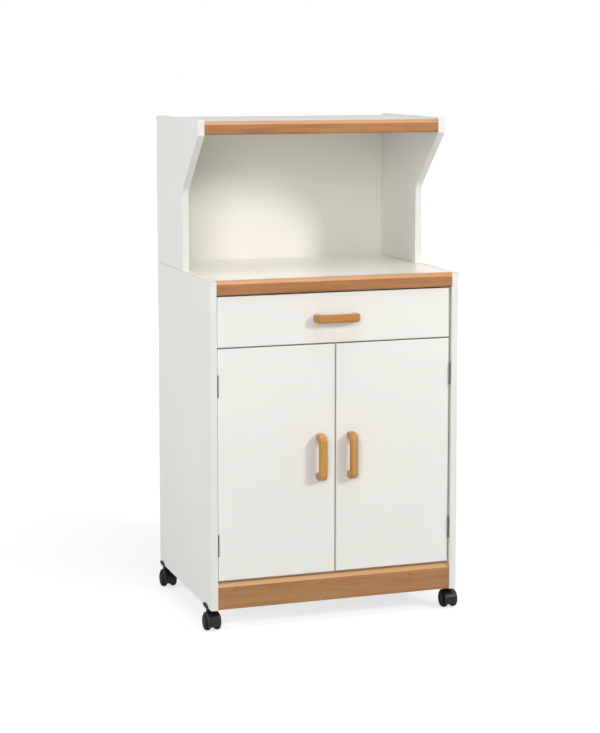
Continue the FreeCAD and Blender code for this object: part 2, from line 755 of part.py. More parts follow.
def door():
    """Left door, with the holes of its hinges, pull and strike."""
    board = block((-X_FACE, -CENTRE_GAP / 2), (Y_FACE, Y_FACE_BACK), (Z_DOOR, Z_DOOR_TOP))
    board = softened_face(board, FACE_RADIUS, Y_FACE)
    holes = [screw_hole(seat, Y_AXIS, SCREW_LENGTH) for seat in door_screw_seats()]
    holes += [pull_screw_hole(seat, Y_AXIS) for seat in pull_screw_seats(door_pull_seat(), Z_AXIS)]
    return board.cut(holes)


def door_screws():
    """Screws of the left door: hinges, strike and pull."""
    screws = [placed(screw(SCREW_LENGTH), seat, Y_AXIS) for seat in door_screw_seats()]
    return screws + [placed(pull_screw(), seat, Y_AXIS)
                     for seat in pull_screw_seats(door_pull_seat(), Z_AXIS)]


def strike_screw_seat():
    x_seat = -CENTRE_GAP / 2 - STRIKE_INSET - STRIKE_WIDTH / 2
    return Vector(x_seat, Y_FACE_BACK + STRIKE, Z_CATCH - STRIKE_TAIL / 2)


def strike():
    """Steel plate on the back of the left door, its tail below the catch."""
    seat = strike_screw_seat()
    plate = block((seat.x - STRIKE_WIDTH / 2, seat.x + STRIKE_WIDTH / 2), (Y_FACE_BACK, Y_FACE_BACK + STRIKE),
                  (Z_CATCH - STRIKE_TAIL, Z_CATCH + CATCH_HEIGHT))
    return plate.cut(screw_hole(seat, Y_AXIS, SCREW_LENGTH))


# Magnetic catch under the cross rail

def catch_screw_seats():
    x_seat = CATCH_WIDTH / 2 + CATCH_EAR / 2
    z_seat = Z_RAIL - BOARD - CATCH_EAR_HEIGHT
    return [Vector(side * x_seat, Y_CATCH + CATCH_DEPTH / 2, z_seat) for side in SIDES.values()]


def magnets():
    """One magnet behind each strike, flush with the front of the catch."""
    x_middle = strike_screw_seat().x
    z_middle = Z_CATCH + CATCH_HEIGHT / 2
    magnet = block((x_middle - MAGNET_WIDTH / 2, x_middle + MAGNET_WIDTH / 2),
                   (Y_CATCH, Y_CATCH + MAGNET_DEPTH),
                   (z_middle - MAGNET_HEIGHT / 2, z_middle + MAGNET_HEIGHT / 2))
    return both_sides([magnet])


def magnetic_catch():
    """Catch body with an ear at each side, and its two magnets."""
    half = CATCH_WIDTH / 2
    y_catch = (Y_CATCH, Y_CATCH + CATCH_DEPTH)
    body = block((-half, half), y_catch, (Z_CATCH, Z_CATCH + CATCH_HEIGHT))
    ears = block((-half - CATCH_EAR, half + CATCH_EAR), y_catch,
                 (Z_CATCH + CATCH_HEIGHT - CATCH_EAR_HEIGHT, Z_CATCH + CATCH_HEIGHT))
    holes = [screw_hole(seat, -Z_AXIS, SCREW_LENGTH) for seat in catch_screw_seats()]
    return [joined([body, ears]).cut(magnets() + holes)] + magnets()


# Drawer

def drawer_side_tongue():
    """Tongue of the left drawer side in the drawer front."""
    middle = -X_BOX + DRAWER_SIDE / 2
    half = DRAWER_TONGUE / 2
    return block((middle - half, middle + half), (Y_FACE_BACK - DRAWER_GROOVE, Y_FACE_BACK),
                 (Z_BOX, Z_BOX + DRAWER_SIDE_HEIGHT))


def drawer_bottom_sheet(play=0):
    """Bottom sheet, or with play the room that its grooves give it."""
    half = X_BOX - DRAWER_SIDE + DRAWER_GROOVE - DRAWER_GROOVE_PLAY + play
    front = Y_FACE_BACK - DRAWER_GROOVE + DRAWER_GROOVE_PLAY - play
    rear = Y_FACE_BACK + DRAWER_BOX_DEPTH
    return block((-half, half), (front, rear), (Z_BOX_BOTTOM, Z_BOX_BOTTOM + BACK_BOARD))


def drawer_front():
    board = block((-X_FACE, X_FACE), (Y_FACE, Y_FACE_BACK), (Z_DRAWER, Z_DRAWER_TOP))
    board = softened_face(board, FACE_RADIUS, Y_FACE)
    holes = both_sides([drawer_side_tongue()]) + [drawer_bottom_sheet(DRAWER_GROOVE_PLAY)]
    holes += [pull_screw_hole(seat, Y_AXIS) for seat in pull_screw_seats(drawer_pull_seat(), X_AXIS)]
    return board.cut(holes)


def drawer_corner_seats():
    """Seats of the screws that hold the left side to the drawer back."""
    y_seat = Y_FACE_BACK + DRAWER_BOX_DEPTH - DRAWER_SIDE / 2
    bottom = Z_LIP + RUNNER_SHEET + SCREW_HEAD_RADIUS
    top = Z_BOX + DRAWER_SIDE_HEIGHT
    return [Vector(-X_BOX, y_seat, at_share(bottom, top, share)) for share in DRAWER_CORNER_SHARES]


def drawer_side():
    """Left drawer side, with a groove for the bottom and a tongue at the front."""
    board = block((-X_BOX, -X_BOX + DRAWER_SIDE), (Y_FACE_BACK, Y_FACE_BACK + DRAWER_BOX_DEPTH),
                  (Z_BOX, Z_BOX + DRAWER_SIDE_HEIGHT))
    board = joined([board, drawer_side_tongue()])
    holes = [drawer_bottom_sheet(DRAWER_GROOVE_PLAY)]
    holes += [screw_hole(seat, -X_AXIS, SCREW_LENGTH) for seat in drawer_runner_screw_seats()]
    holes += [screw_hole(seat, -X_AXIS, DRAWER_CORNER_SCREW_LENGTH) for seat in drawer_corner_seats()]
    return board.cut(holes)


def drawer_back():
    half = X_BOX - DRAWER_SIDE
    rear = Y_FACE_BACK + DRAWER_BOX_DEPTH
    board = block((-half, half), (rear - DRAWER_SIDE, rear),
                  (Z_BOX_BOTTOM + BACK_BOARD, Z_BOX + DRAWER_SIDE_HEIGHT))
    return board.cut(both_sides([screw_hole(seat, -X_AXIS, DRAWER_CORNER_SCREW_LENGTH)
                                 for seat in drawer_corner_seats()]))


def drawer_screws():
    """Screws of the drawer: runners, back corners and pull."""
    screws = [placed(screw(SCREW_LENGTH), seat, -X_AXIS) for seat in drawer_runner_screw_seats()]
    screws += [placed(screw(DRAWER_CORNER_SCREW_LENGTH), seat, -X_AXIS) for seat in drawer_corner_seats()]
    return both_sides(screws) + [placed(pull_screw(), seat, Y_AXIS)
                                 for seat in pull_screw_seats(drawer_pull_seat(), X_AXIS)]


# Runners

def cabinet_runner():
    """Channel on the left end, open at its front over the roller that it carries."""
    web = (-X_IN, -X_IN + RUNNER_SHEET)
    flange = (-X_IN, -X_IN + RUNNER_FLANGE)
    y_run = (Y_RUNNER, Y_RUNNER + CABINET_RUNNER_LENGTH)
    y_top = (Y_FRONT_ROLLER + ROLLER_RADIUS + ROLLER_INSET / 2, Y_RUNNER + CABINET_RUNNER_LENGTH)
    z_top = Z_RUNNER + RUNNER_HEIGHT
    pin_start = Vector(-X_IN, Y_FRONT_ROLLER, Z_FRONT_ROLLER)
    channel = joined([
        block(web, y_run, (Z_RUNNER, z_top)),
        block(flange, y_run, (Z_RUNNER, Z_RUNNER + RUNNER_SHEET)),
        block(flange, y_top, (z_top - RUNNER_SHEET, z_top)),
        rod(pin_start, X_AXIS, ROLLER_PIN_RADIUS, RUNNER_SHEET + ROLLER_SIDE_GAP + ROLLER_WIDTH),
    ])
    return channel.cut([screw_hole(seat, X_AXIS, SCREW_LENGTH) for seat in cabinet_runner_screw_seats()])


def cabinet_runner_screw_seats():
    level = Z_RUNNER + RUNNER_HEIGHT / 2
    return [Vector(-X_IN + RUNNER_SHEET, Y_RUNNER + CABINET_RUNNER_LENGTH * share, level)
            for share in RUNNER_SCREW_SHARES]


def drawer_runner():
    """Angle on the left drawer side: a lip over the cabinet roller, and a pin for its own roller."""
    leg = (-X_BOX - RUNNER_SHEET, -X_BOX)
    y_run = (Y_RUNNER, Y_RUNNER + DRAWER_RUNNER_LENGTH)
    pin_start = Vector(-X_BOX, Y_REAR_ROLLER, Z_REAR_ROLLER)
    roller_far = RUNNER_SPACE - RUNNER_SHEET - ROLLER_SIDE_GAP
    angle = joined([
        block(leg, y_run, (Z_RUNNER, Z_LIP + RUNNER_SHEET)),
        block((-X_IN + RUNNER_SHEET + LIP_GAP, -X_BOX), y_run, (Z_LIP, Z_LIP + RUNNER_SHEET)),
        block((-X_BOX - RUNNER_SHEET, -X_BOX + UNDER_FLANGE), y_run, (Z_RUNNER, Z_BOX)),
        rod(pin_start, -X_AXIS, ROLLER_PIN_RADIUS, roller_far),
    ])
    return angle.cut([screw_hole(seat, -X_AXIS, SCREW_LENGTH) for seat in drawer_runner_screw_seats()])


def drawer_runner_screw_seats():
    level = at_share(Z_BOX_BOTTOM + BACK_BOARD, Z_LIP, 1 / 2)
    return [Vector(-X_BOX - RUNNER_SHEET, Y_RUNNER + DRAWER_RUNNER_LENGTH * share, level)
            for share in DRAWER_RUNNER_SCREW_SHARES]


def roller(y_axis, z_axis):
    """Left roller, between the cabinet's web and the drawer's leg, with a groove round its tread."""
    start = Vector(-X_IN + RUNNER_SHEET + ROLLER_SIDE_GAP, y_axis, z_axis)
    wheel = rod(start, X_AXIS, ROLLER_RADIUS, ROLLER_WIDTH)
    bore = rod(start - X_AXIS * OVERRUN, X_AXIS, ROLLER_PIN_RADIUS + ROLLER_PIN_PLAY,
               ROLLER_WIDTH + 2 * OVERRUN)
    ring = Part.makeTorus((ROLLER_RADIUS + ROLLER_PIN_RADIUS) / 2, ROLLER_GROOVE_RADIUS,
                          start + X_AXIS * ROLLER_WIDTH, X_AXIS)
    return wheel.cut([bore, ring])


# Screws of the cabinet

def cabinet_wall_screws():
    """Seats of the screws that enter the left end: hinge leaves and runner."""
    seats = [seat for level in HINGE_LEVELS for seat in frame_leaf_screw_seats(level)]
    return seats + cabinet_runner_screw_seats()


def cabinet_screws():
    walls = both_sides([placed(screw(SCREW_LENGTH), seat, X_AXIS) for seat in cabinet_wall_screws()])
    return walls + [placed(screw(SCREW_LENGTH), seat, -Z_AXIS) for seat in catch_screw_seats()]


# Casters, made with the stem's axis through the origin of the floor

def around_axle(radius, x_from, x_to):
    """Cylinder about a caster's axle between two planes across it."""
    return rod(Vector(x_from, -CASTER_TRAIL, Z_AXLE), X_AXIS, radius, x_to - x_from)


def axle():
    return around_axle(AXLE_RADIUS, -AXLE_HALF, AXLE_HALF)


def wheel():
    """Right wheel of a pair: domed outside, with a shallow ring and a blind bore."""
    disc = around_axle(WHEEL_RADIUS, WHEEL_INNER, WHEEL_OUTER)
    disc = softened(disc, WHEEL_DOME_RADIUS, lambda edge: same(edge.CenterOfMass.x, WHEEL_OUTER))
    disc = softened(disc, WHEEL_TREAD_RADIUS, lambda edge: same(edge.CenterOfMass.x, WHEEL_INNER)
                    and len(edge.Vertexes) == 1)
    ring = Part.makeTorus(WHEEL_RING_RADIUS, WHEEL_RING_GROOVE,
                          Vector(WHEEL_OUTER, -CASTER_TRAIL, Z_AXLE), X_AXIS)
    return disc.cut([axle(), ring])


def hood_gap():
    """Wedge that leaves a hood open below, from its front lip to its tail."""
    first = math.pi + math.radians(HOOD_LIP_DROP)
    last = 2 * math.pi + math.radians(HOOD_TAIL_RISE)
    reach = 2 * HOOD_RADIUS
    steps = 4
    corners = [Vector(-HOOD_WIDTH, -CASTER_TRAIL, Z_AXLE)]
    for step in range(steps + 1):
        angle = at_share(first, last, step / steps)
        corners.append(corners[0] + Vector(0, reach * math.cos(angle), reach * math.sin(angle)))
    return prism(corners, X_AXIS * 2 * HOOD_WIDTH)


def hood():
    """Hood over both wheels, with a web between them and a boss for the stem."""
    half = HOOD_WIDTH / 2
    cover = around_axle(HOOD_RADIUS, -half, half)
    cover = softened(cover, HOOD_SHOULDER, lambda edge: same(abs(edge.CenterOfMass.x), half))
    cover = cover.cut(hood_gap())
    hub = around_axle(HOOD_HUB_RADIUS, -HOOD_WEB / 2, HOOD_WEB / 2)
    z_boss_foot = Z_AXLE + HOOD_HUB_RADIUS
    boss = rod(Vector(0, 0, z_boss_foot), Z_AXIS, BOSS_RADIUS, Z_BOSS - z_boss_foot)
    wheel_rooms = [around_axle(HOOD_INNER_RADIUS, HOOD_WEB / 2, HOOD_WIDTH),
                   around_axle(HOOD_INNER_RADIUS, -HOOD_WIDTH, -HOOD_WEB / 2)]
    bores = [around_axle(AXLE_RADIUS + AXLE_PLAY, -HOOD_WEB, HOOD_WEB),
             rod(Vector(0, 0, stem_foot()), Z_AXIS, STEM_RADIUS + STEM_PLAY, HOOD_RADIUS)]
    return joined([cover, hub, boss]).cut(wheel_rooms + bores)


def stem_foot():
    """Level of the stem's lower end, above the wheels' room."""
    near = CASTER_TRAIL - STEM_RADIUS - STEM_PLAY
    return Z_AXLE + math.sqrt(HOOD_INNER_RADIUS ** 2 - near ** 2) + STEM_FLOOR


def stem():
    """Steel stem from the hood's boss up into the sleeve."""
    foot = stem_foot()
    top = Z_BASE + SLEEVE_LENGTH - SLEEVE_ROOF
    pin = rod(Vector(0, 0, foot), Z_AXIS, STEM_RADIUS, top - foot)
    return pin.makeChamfer(STEM_HEAD_CHAMFER, [edge for edge in pin.Edges if same(edge.CenterOfMass.z, top)
                                               and len(edge.Vertexes) == 1])


def caster_socket():
    """Shoe round the foot of an end: a base, two low cheeks and a sleeve for the stem."""
    half_width = BOARD / 2 + SHOE_WALL
    half_length = SHOE_LENGTH / 2
    z_low = Z_BASE - SHOE_BASE
    base = block((-half_width, half_width), (-half_length, half_length), (z_low, Z_BASE))
    base = softened(base, half_width - SHOE_WALL, lambda edge: runs_along(edge, Z_AXIS))
    radius = (SHOE_CHEEK ** 2 + half_length ** 2) / (2 * SHOE_CHEEK)
    arch = rod(Vector(-half_width, 0, Z_BASE + SHOE_CHEEK - radius), X_AXIS, radius, 2 * half_width)
    cheeks = arch.common(block((-half_width, half_width), (-half_length, half_length),
                               (Z_BASE - SHOE_WALL, Z_BASE + SHOE_CHEEK)))
    cheeks = cheeks.cut(block((-BOARD / 2, BOARD / 2), (-SHOE_LENGTH, SHOE_LENGTH),
                              (Z_BASE - SHOE_BASE, Z_BASE + SHOE_CHEEK)))
    sleeve = rod(Vector(0, 0, z_low), Z_AXIS, SLEEVE_RADIUS, SHOE_BASE + SLEEVE_LENGTH)
    return joined([base, cheeks, sleeve]).cut(stem())


def at_stems(shape):
    """Copies of a caster's piece at all four stems."""
    return [shape.translated(Vector(side * X_MID, y_stem, 0))
            for y_stem in Y_STEMS.values() for side in SIDES.values()]


# All nodes of the cart

def cabinet_nodes():
    nodes = {name: [fixed_board(name)] for name in FIXED_BOARDS}
    nodes.update({name: [back_panel(name)] for name in BACK_PANELS})
    for name, shape in (("lower_end", lower_end()), ("upper_end", upper_end()),
                        ("cabinet_runner", cabinet_runner())):
        nodes["left_" + name] = [shape]
        nodes["right_" + name] = [mirrored(shape)]
    nodes["countertop_trim"] = [trim(Y_FRONT, Z_DECK, TRIM_HEIGHT)]
    nodes["hutch_top_trim"] = [trim(Y_BROW, Z_HUTCH_TOP, HUTCH_TRIM_HEIGHT)]
    nodes["kickboard"] = [kickboard()]
    nodes["adjustable_shelf"] = [adjustable_shelf()]
    nodes["shelf_pins"] = shelf_pins()
    nodes["cam_locks"] = cam_locks()
    nodes["cam_bolts"] = cam_bolts()
    nodes["wood_dowels"] = both_sides(dowels())
    nodes["back_nails"] = back_nails()
    nodes["cabinet_screws"] = cabinet_screws()
    nodes["magnetic_catch"] = magnetic_catch()
    nodes["hinge_frame_leaves"] = both_sides([frame_leaf(level) for level in HINGE_LEVELS])
    nodes["hinge_pins"] = both_sides([hinge_pin(level) for level in HINGE_LEVELS])
    nodes["caster_sockets"] = at_stems(caster_socket())
    nodes["caster_stems"] = at_stems(stem())
    nodes["cabinet_rollers"] = both_sides([roller(Y_FRONT_ROLLER, Z_FRONT_ROLLER)])
    return nodes


def door_nodes():
    pieces = {
        "door": [door()],
        "door_pull": [door_pull()],
        "door_hinge_leaves": [door_leaf(level) for level in HINGE_LEVELS],
        "door_strike": [strike()],
        "door_screws": door_screws(),
    }
    nodes = {"left_" + name: shapes for name, shapes in pieces.items()}
    nodes.update({"right_" + name: [mirrored(shape) for shape in shapes] for name, shapes in pieces.items()})
    return nodes


def drawer_nodes():
    nodes = {
        "drawer_front": [drawer_front()],
        "drawer_back": [drawer_back()],
        "drawer_bottom": [drawer_bottom_sheet()],
        "drawer_pull": [drawer_pull()],
        "drawer_screws": drawer_screws(),
        "drawer_rollers": both_sides([roller(Y_REAR_ROLLER, Z_REAR_ROLLER)]),
    }
    for name, shape in (("side", drawer_side()), ("runner", drawer_runner())):
        nodes["drawer_left_" + name] = [shape]
        nodes["drawer_right_" + name] = [mirrored(shape)]
    return nodes


def caster_nodes():
    nodes = {}
    pieces = {"hood": [hood()], "wheels": both_sides([wheel()]), "axle": [axle()]}
    for row, y_stem in Y_STEMS.items():
        for side, sign in SIDES.items():
            move = Vector(sign * X_MID, y_stem, 0)
            for name, shapes in pieces.items():
                nodes[f"{row}_{side}_caster_{name}"] = [shape.translated(move) for shape in shapes]
    return nodes


def export(nodes):
    os.makedirs("parts", exist_ok=True)
    for name, shapes in nodes.items():
        solids = [solid for shape in shapes for solid in shape.Solids]
        if not all(solid.isValid() and solid.Volume > 0 for solid in solids):
            raise ValueError(f"{name} is not a sound solid")
        shape = solids[0] if len(solids) == 1 else Part.makeCompound(solids)
        shape.exportStep(f"parts/{name}.step")


export({**cabinet_nodes(), **door_nodes(), **drawer_nodes(), **caster_nodes()})
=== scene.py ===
"""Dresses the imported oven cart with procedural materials, soft studio light and the photograph's camera."""
import bpy
import json
import math
from mathutils import Euler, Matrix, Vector


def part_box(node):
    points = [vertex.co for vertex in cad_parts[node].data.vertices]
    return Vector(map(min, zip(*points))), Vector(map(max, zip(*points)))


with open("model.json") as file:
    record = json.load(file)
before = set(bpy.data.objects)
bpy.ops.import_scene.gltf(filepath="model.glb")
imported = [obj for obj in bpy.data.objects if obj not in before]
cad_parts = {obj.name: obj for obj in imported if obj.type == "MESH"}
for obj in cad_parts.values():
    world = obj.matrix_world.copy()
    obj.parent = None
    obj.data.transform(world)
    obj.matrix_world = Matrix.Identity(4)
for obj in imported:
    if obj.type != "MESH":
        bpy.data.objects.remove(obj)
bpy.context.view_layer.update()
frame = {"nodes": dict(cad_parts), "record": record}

AXES = "XYZ"
RIGHT_ANGLE = 90.0
OPAQUE = 1.0
WHITE = (1.0, 1.0, 1.0, OPAQUE)

# The photograph's camera: pixels of its frame, degrees, and metres of the shared frame
IMAGE_WIDTH = 600
IMAGE_HEIGHT = 733
FOCAL_PIXELS = 1905.29
SENSOR = 36.0
CAMERA_PLACE = Vector((-1.4382, -4.1901, 1.2711))
CAMERA_YAW = 18.77
CAMERA_PITCH = 7.0
CENTRE_ROW = 293.92

# Lamps: place, target, width, height and power
LAMPS = {
    "key": ((2.56, -2.75, 2.20), (0.0, -0.2, 0.60), 0.75, 0.75, 83.0),
    "fill": ((-2.10, -3.74, 2.00), (0.0, 0.0, 0.75), 1.8, 2.2, 90.0),
    "side": ((-4.00, 0.90, 1.50), (-0.3, 0.0, 0.60), 2.6, 2.2, 81.0),
    "rear": ((1.90, 4.00, 0.38), (0.0, 0.2, 0.60), 2.6, 0.7, 110.0),
    "top": ((0.2, -0.9, 3.40), (0.0, 0.0, 0.80), 2.0, 1.6, 18.0),
}
# Distant lamp that lights the whole floor: degrees above the floor and to the right, spread, and strength
SKY_LAMP = (75.0, 12.0, 40.0, 0.65)
WORLD_LEVEL = 0.02
BACKGROUND_LEVEL = 1.0

# Floor
FLOOR_HALF = 30.0
FLOOR_DROP = 0.0004
FLOOR_COLOUR = (0.45, 0.45, 0.45, OPAQUE)
# Glow of the floor beside the cart and far away, and how far from the middle each of them holds
FLOOR_GLOW_NEAR = 0.68
FLOOR_GLOW_FAR = 0.91
FLOOR_NEAR = 0.8
FLOOR_FAR = 4.0

# Colours, as seen on a screen
LAMINATE = (0.912, 0.908, 0.882)
END_LAMINATE = (0.895, 0.895, 0.875)
# The countertop's laminate is lighter than the rest: a painted lift that stands in for more light on the
# countertop; the ends' top bands take it too
COUNTER_LAMINATE = (0.965, 0.952, 0.915)
TOP_LAMINATE = (0.940, 0.942, 0.928)
DRAWER_WHITE = (0.868, 0.866, 0.838)
BACK_PAINT = (0.925, 0.912, 0.874)
CHIPBOARD = (0.62, 0.49, 0.34)
CHIPBOARD_DARK = (0.43, 0.32, 0.21)
HARDBOARD_BROWN = (0.46, 0.33, 0.22)
HARDBOARD_DARK = (0.36, 0.25, 0.16)
HINGE_METAL = (0.40, 0.40, 0.38)
ZINC = (0.70, 0.71, 0.72)
ENAMEL = (0.90, 0.89, 0.84)
NYLON = (0.93, 0.93, 0.91)
CATCH = (0.86, 0.85, 0.81)
MAGNET = (0.16, 0.15, 0.15)
BLACK = (0.095, 0.095, 0.093)
WHEEL_BLACK = (0.080, 0.080, 0.080)
# Woods: light, middle and dark streaks
TRIM_OAK = ((0.705, 0.492, 0.290), (0.632, 0.426, 0.232), (0.535, 0.343, 0.170))
KICK_OAK = ((0.682, 0.500, 0.306), (0.630, 0.450, 0.260), (0.526, 0.360, 0.194))
PULL_OAK = ((0.790, 0.600, 0.335), (0.724, 0.526, 0.259), (0.596, 0.395, 0.175))
BEECH = ((0.84, 0.70, 0.52), (0.79, 0.64, 0.46), (0.70, 0.54, 0.37))
# Linear factors that redden the wood where it drifts
RED_CAST = (1.0, 0.86, 0.74, OPAQUE)

# The curve of screen colours
CURVE_KNEE = 0.04045
CURVE_SLOPE = 12.92
CURVE_OFFSET = 0.055
CURVE_POWER = 2.4

# What a noise has unless a material says otherwise, and the range that most of it lies in
EVEN = (1.0, 1.0, 1.0)
NOISE_DETAIL = 4.0
NOISE_ROUGHNESS = 0.55
NOISE_RANGE = (0.3, 0.7)

# Least part of a normal along an axis for a face to count as facing that way
FACING = 0.8
# Darkening and half width, in metres, of the painted shadow line where two boards meet
SEAM_SHADOW_TINT = 0.55
SEAM_HALF = 0.0006


def linear(colour):
    """Screen colour as the linear colour that shaders take."""
    def channel(value):
        if value <= CURVE_KNEE:
            return value / CURVE_SLOPE
        return ((value + CURVE_OFFSET) / (1 + CURVE_OFFSET)) ** CURVE_POWER
    return (*[channel(value) for value in colour], OPAQUE)


def tinted(colour, factor):
    """Linear colour, lightened or darkened by a factor."""
    *channels, opacity = linear(colour)
    return (*[min(1, value * factor) for value in channels], opacity)


class Nodes:
    """A tree of shader nodes, with short calls for the ones that repeat."""

    def __init__(self, tree):
        self.tree = tree

    def node(self, kind, inputs=None, **settings):
        made = self.tree.nodes.new(kind)
        for key, value in settings.items():
            setattr(made, key, value)
        for key, value in (inputs or {}).items():
            self.feed(made.inputs[key], value)
        return made

    def feed(self, socket, value):
        """Links an output to a socket, or sets a plain value on it."""
        if isinstance(value, bpy.types.NodeSocket):
            self.tree.links.new(value, socket)
        else:
            socket.default_value = value

    def math(self, operation, first, second=0.0):
        return self.node("ShaderNodeMath", {0: first, 1: second}, operation=operation).outputs["Value"]

    def spread(self, factor, low, high, between=NOISE_RANGE):
        """Factor within a range, mapped to the values from low to high."""
        start, end = between
        return self.node("ShaderNodeMapRange", {"Value": factor, "From Min": start, "From Max": end,
                                                "To Min": low, "To Max": high}).outputs["Result"]

    def seen_directly(self):
        """1 for rays from the camera, and for those that metal or glass sends on."""
        path = self.node("ShaderNodeLightPath").outputs
        seen = path["Is Camera Ray"]
        for name in ("Is Glossy Ray", "Is Transmission Ray"):
            seen = self.math("MAXIMUM", seen, path[name])
        return seen


class Surface(Nodes):
    """A new material, as the nodes that feed its shader."""

    def __init__(self, name):
        self.material = bpy.data.materials.new(name)
        self.material.use_nodes = True
        super().__init__(self.material.node_tree)
        self.shader = next(node for node in self.tree.nodes if node.type == "BSDF_PRINCIPLED")
        self.coordinates = self.node("ShaderNodeTexCoord").outputs

    def set(self, **values):
        """Sets sockets of the shader; a name's underscores stand for spaces."""
        for key, value in values.items():
            self.feed(self.shader.inputs[key.replace("_", " ")], value)

    def stretched(self, scale):
        """Object coordinates, scaled along each axis."""
        return self.node("ShaderNodeMapping", {"Vector": self.coordinates["Object"],
                                               "Scale": scale}).outputs["Vector"]

    def noise(self, scale, stretch=EVEN, detail=NOISE_DETAIL, roughness=NOISE_ROUGHNESS, distortion=0.0):
        return self.node("ShaderNodeTexNoise", {"Vector": self.stretched(stretch), "Scale": scale,
                                                "Detail": detail, "Roughness": roughness,
                                                "Distortion": distortion}).outputs["Fac"]

    def bands(self, direction, stretch, inputs):
        """Waves that follow each other in one direction."""
        return self.node("ShaderNodeTexWave", {"Vector": self.stretched(stretch), **inputs},
                         wave_type="BANDS", bands_direction=direction).outputs["Fac"]

    def ramp(self, factor, places, colours):
        """Colours that follow each other at the given places of the factor."""
        ramp = self.node("ShaderNodeValToRGB", {"Fac": factor})
        elements = ramp.color_ramp.elements
        while len(elements) < len(places):
            elements.new(places[-1])
        for element, place, colour in zip(elements, places, colours):
            element.position = place
            element.color = colour
        return ramp.outputs["Color"]

    def clouded(self, colour, scale, tints, detail=NOISE_DETAIL):
        """Colour that drifts between two tints of itself, in soft patches."""
        patches = self.noise(scale, detail=detail)
        return self.ramp(patches, NOISE_RANGE, [tinted(colour, tint) for tint in tints])

    def around(self, factor, middle, swing):
        """Value that goes to either side of a middle as the factor rises."""
        return self.spread(factor, middle - swing, middle + swing)

    def mix(self, factor, first, second, blend="MIX"):
        made = self.node("ShaderNodeMix", data_type="RGBA", blend_type=blend)
        self.feed(made.inputs["Factor"], factor)
        colours = [socket for socket in made.inputs if socket.type == "RGBA"]
        self.feed(colours[0], first)
        self.feed(colours[1], second)
        return next(socket for socket in made.outputs if socket.type == "RGBA")

    def bump(self, height, distance, strength):
        made = self.node("ShaderNodeBump", {"Height": height, "Distance": distance, "Strength": strength})
        self.set(Normal=made.outputs["Normal"])

    def parts(self, coordinates):
        """The three parts of the object's place or normal."""
        return self.node("ShaderNodeSeparateXYZ", {"Vector": self.coordinates[coordinates]}).outputs

    def within(self, value, middle, half):
        """1 where a value lies within a half width of a middle, 0 elsewhere."""
        away = self.math("ABSOLUTE", self.math("SUBTRACT", value, middle))
        return self.math("LESS_THAN", away, half)

    def facing(self, axis, sign):
        """1 where the surface faces one way along an axis of the shared frame, 0 elsewhere."""
        turned = self.math("MULTIPLY", self.parts("Normal")[axis], sign)
        return self.math("GREATER_THAN", turned, FACING)

    def seam(self, axis, place):
        """1 along the joints this far to either side of the middle, on the faces that they cross."""
        near = self.within(self.math("ABSOLUTE", self.parts("Object")[axis]), place, SEAM_HALF)
        across = self.math("LESS_THAN", self.math("ABSOLUTE", self.parts("Normal")[axis]), FACING)
        return self.math("MULTIPLY", near, across)

    def with_seam_shadow(self, surface, colour, seams):
        """Surface with a painted shadow line along its seams, in a darker tint of its colour."""
        for axis, place in seams:
            surface = self.mix(self.seam(axis, place), surface, tinted(colour, SEAM_SHADOW_TINT))
        return surface


# Boards

CHIP_SCALE = 420.0
CHIP_PATCH_SCALE = 260.0
CHIP_TINT = 1.2
RAW_ROUGHNESS = 0.85
BAND_ROUGHNESS = 0.60

PLAIN_SHINE = 0.5
LAMINATE_IOR = 1.48
LAMINATE_CLOUDS = {"scale": 3.5, "tints": (0.975, 1.015), "detail": 3.0}
LAMINATE_GLOSS_SCALE = 38.0
LAMINATE_GLOSS_SWING = 0.012
LAMINATE_STIPPLE = {"scale": 1500.0, "detail": 2.0}
LAMINATE_BUMP = {"distance": 0.00004, "strength": 0.35}

PAINT_IOR = 1.47
PAINT_CLOUDS = {"scale": 4.0, "tints": (0.965, 1.0)}
PAINT_ROUGHNESS = 0.38
PAINT_GLOSS_SCALE = 45.0
PAINT_GLOSS_SWING = 0.04
PAINT_STIPPLE = {"scale": 1200.0, "detail": 2.0}
PAINT_STIPPLE_SHARE = 0.12
FIBRE = {"scale": 170.0, "stretch": (1.0, 1.0, 2.2), "detail": 6.0}
FIBRE_PLACES = (0.32, 0.68)
FIBRE_EXTRA_ROUGHNESS = 0.42
MESH_WAVES = {"Scale": 150.0, "Distortion": 0.4, "Detail": 1.0}
HARDBOARD_BUMP = {"distance": 0.00018, "strength": 0.5}


def chipboard_colour(surface):
    """Raw particle board: flakes of several browns."""
    flakes = surface.node("ShaderNodeTexVoronoi", {"Vector": surface.stretched(EVEN), "Scale": CHIP_SCALE})
    pale = surface.mix(flakes.outputs["Color"], linear(CHIPBOARD), tinted(CHIPBOARD, CHIP_TINT))
    patches = surface.spread(surface.noise(CHIP_PATCH_SCALE), 0, 1)
    return surface.mix(patches, pale, linear(CHIPBOARD_DARK))


def laminate(name, colour, roughness, shine=PLAIN_SHINE, raw_faces=(), band_faces=(), seams=()):
    """Satin melamine: a faint cloudiness and a fine pressed stipple.

    Where it faces the given ways it is raw board, or a matt edge band. Along the joints with its neighbours
    it has a painted shadow line.
    """
    surface = Surface(name)
    paint = surface.with_seam_shadow(surface.clouded(colour, **LAMINATE_CLOUDS), colour, seams)
    gloss = surface.around(surface.noise(LAMINATE_GLOSS_SCALE), roughness, LAMINATE_GLOSS_SWING)
    covers = [(face, chipboard_colour(surface), RAW_ROUGHNESS) for face in raw_faces]
    covers += [(face, linear(COUNTER_LAMINATE), BAND_ROUGHNESS) for face in band_faces]
    for (axis, sign), cover, cover_roughness in covers:
        mask = surface.facing(axis, sign)
        paint = surface.mix(mask, paint, cover)
        gloss = surface.math("MAXIMUM", gloss, surface.math("MULTIPLY", mask, cover_roughness))
    surface.set(Base_Color=paint, Roughness=gloss, IOR=LAMINATE_IOR, Specular_IOR_Level=shine)
    surface.bump(surface.noise(**LAMINATE_STIPPLE), **LAMINATE_BUMP)
    return surface.material


